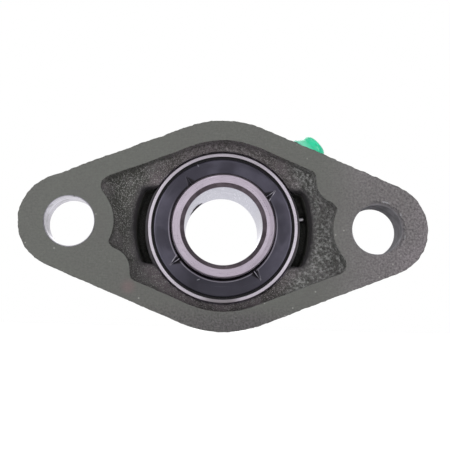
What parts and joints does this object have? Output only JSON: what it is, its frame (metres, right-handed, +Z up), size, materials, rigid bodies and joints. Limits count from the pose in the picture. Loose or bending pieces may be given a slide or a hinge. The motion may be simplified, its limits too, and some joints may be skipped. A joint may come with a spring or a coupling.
{
  "type": "flange bearing",
  "caption": "Oval cast flange unit with two bolt holes, holding a self-aligning ball bearing insert with set screws, seals, slingers and a capped grease nipple.",
  "frame": {"origin": "where the shaft axis meets the plane of the mounting face", "axes": "+X through both bolt holes, +Y along the shaft from the mounting face into the housing, +Z up across the flange"},
  "size_m": [0.1324, 0.0358, 0.0686],
  "materials": {
    "cast_housing": "olive-grey painted casting, machined mounting face",
    "ground_steel": "fine ground bearing steel",
    "ball_steel": "lapped",
    "pin_steel": "turned",
    "cage_steel": "pressed sheet, oiled",
    "seal_steel": "pressed sheet",
    "seal_rubber": "moulded nitrile rubber",
    "slinger_steel": "dark blue-grey coated sheet",
    "black_steel": "black oxide",
    "plated_steel": "zinc plated",
    "spring_steel": "drawn wire",
    "cap_plastic": "moulded polyethylene"
  },
  "bodies": {
    "housing": {"housing": "cast_housing", "grease_nipple": "plated_steel", "nipple_spring": "spring_steel"},
    "swivel_pin": {"stop_pin": "pin_steel"},
    "outer": {"outer_ring": "ground_steel", "rear_seal_core": "seal_steel", "front_seal_core": "seal_steel", "rear_seal_lip": "seal_rubber", "front_seal_lip": "seal_rubber"},
    "inner": {"inner_ring": "ground_steel", "rear_slinger": "slinger_steel", "front_slinger": "slinger_steel"},
    "cage": {"cage_rear_half": "cage_steel", "cage_front_half": "cage_steel", "cage_rivets": "cage_steel"},
    "ball_1": {"ball_1": "ball_steel"},
    "ball_2": {"ball_2": "ball_steel"},
    "ball_3": {"ball_3": "ball_steel"},
    "ball_4": {"ball_4": "ball_steel"},
    "ball_5": {"ball_5": "ball_steel"},
    "ball_6": {"ball_6": "ball_steel"},
    "ball_7": {"ball_7": "ball_steel"},
    "ball_8": {"ball_8": "ball_steel"},
    "ball_9": {"ball_9": "ball_steel"},
    "screw_1": {"set_screw_1": "black_steel"},
    "screw_2": {"set_screw_2": "black_steel"},
    "cap": {"nipple_cap": "cap_plastic"},
    "check_ball": {"nipple_ball": "ball_steel"}
  },
  "joints": [
    {"name": "swivel_side", "type": "hinge", "parent": "housing", "child": "swivel_pin", "pos_m": [0, 0.016, 0], "axis": [-0.1564, 0, 0.9877], "range_deg": [-3, 3]},
    {"name": "swivel_tilt", "type": "hinge", "parent": "swivel_pin", "child": "outer", "pos_m": [0, 0.016, 0], "axis": [0.9877, 0, 0.1564], "range_deg": [-3, 3]},
    {"name": "shaft_spin", "type": "hinge", "parent": "outer", "child": "inner", "pos_m": [0, 0.016, 0], "axis": [0, 1, 0], "continuous": true},
    {"name": "cage_spin", "type": "hinge", "parent": "outer", "child": "cage", "pos_m": [0, 0.016, 0], "axis": [0, 1, 0], "continuous": true},
    {"name": "ball_1_spin", "type": "hinge", "parent": "cage", "child": "ball_1", "pos_m": [0.0192, 0.016, 0.00339], "axis": [0, 1, 0], "continuous": true},
    {"name": "ball_2_spin", "type": "hinge", "parent": "cage", "child": "ball_2", "pos_m": [0.01253, 0.016, 0.01494], "axis": [0, 1, 0], "continuous": true},
    {"name": "ball_3_spin", "type": "hinge", "parent": "cage", "child": "ball_3", "pos_m": [0, 0.016, 0.0195], "axis": [0, 1, 0], "continuous": true},
    {"name": "ball_4_spin", "type": "hinge", "parent": "cage", "child": "ball_4", "pos_m": [-0.01253, 0.016, 0.01494], "axis": [0, 1, 0], "continuous": true},
    {"name": "ball_5_spin", "type": "hinge", "parent": "cage", "child": "ball_5", "pos_m": [-0.0192, 0.016, 0.00339], "axis": [0, 1, 0], "continuous": true},
    {"name": "ball_6_spin", "type": "hinge", "parent": "cage", "child": "ball_6", "pos_m": [-0.01689, 0.016, -0.00975], "axis": [0, 1, 0], "continuous": true},
    {"name": "ball_7_spin", "type": "hinge", "parent": "cage", "child": "ball_7", "pos_m": [-0.00667, 0.016, -0.01832], "axis": [0, 1, 0], "continuous": true},
    {"name": "ball_8_spin", "type": "hinge", "parent": "cage", "child": "ball_8", "pos_m": [0.00667, 0.016, -0.01832], "axis": [0, 1, 0], "continuous": true},
    {"name": "ball_9_spin", "type": "hinge", "parent": "cage", "child": "ball_9", "pos_m": [0.01689, 0.016, -0.00975], "axis": [0, 1, 0], "continuous": true},
    {"name": "set_screw_1_slide", "type": "slide", "parent": "inner", "child": "screw_1", "axis": [-0.7314, 0, 0.682], "range_m": [-0.0005, 0.0045]},
    {"name": "set_screw_2_slide", "type": "slide", "parent": "inner", "child": "screw_2", "axis": [-0.225, 0, -0.9744], "range_m": [-0.0005, 0.0045]},
    {"name": "cap_pull", "type": "slide", "parent": "housing", "child": "cap", "axis": [0.7193, 0, 0.6947], "range_m": [0, 0.01]},
    {"name": "nipple_ball_press", "type": "slide", "parent": "housing", "child": "check_ball", "axis": [-0.7193, 0, -0.6947], "range_m": [0, 0.0008], "stiffness_N_per_m": 200, "springref_m": -0.001, "deforming": ["nipple_spring"]}
  ],
  "couplings": [
    {"joint": "cage_spin", "follows": "shaft_spin", "ratio": 0.39823},
    {"joint": "ball_1_spin", "follows": "shaft_spin", "ratio": -2.3548},
    {"joint": "ball_2_spin", "follows": "shaft_spin", "ratio": -2.3548},
    {"joint": "ball_3_spin", "follows": "shaft_spin", "ratio": -2.3548},
    {"joint": "ball_4_spin", "follows": "shaft_spin", "ratio": -2.3548},
    {"joint": "ball_5_spin", "follows": "shaft_spin", "ratio": -2.3548},
    {"joint": "ball_6_spin", "follows": "shaft_spin", "ratio": -2.3548},
    {"joint": "ball_7_spin", "follows": "shaft_spin", "ratio": -2.3548},
    {"joint": "ball_8_spin", "follows": "shaft_spin", "ratio": -2.3548},
    {"joint": "ball_9_spin", "follows": "shaft_spin", "ratio": -2.3548}
  ]
}
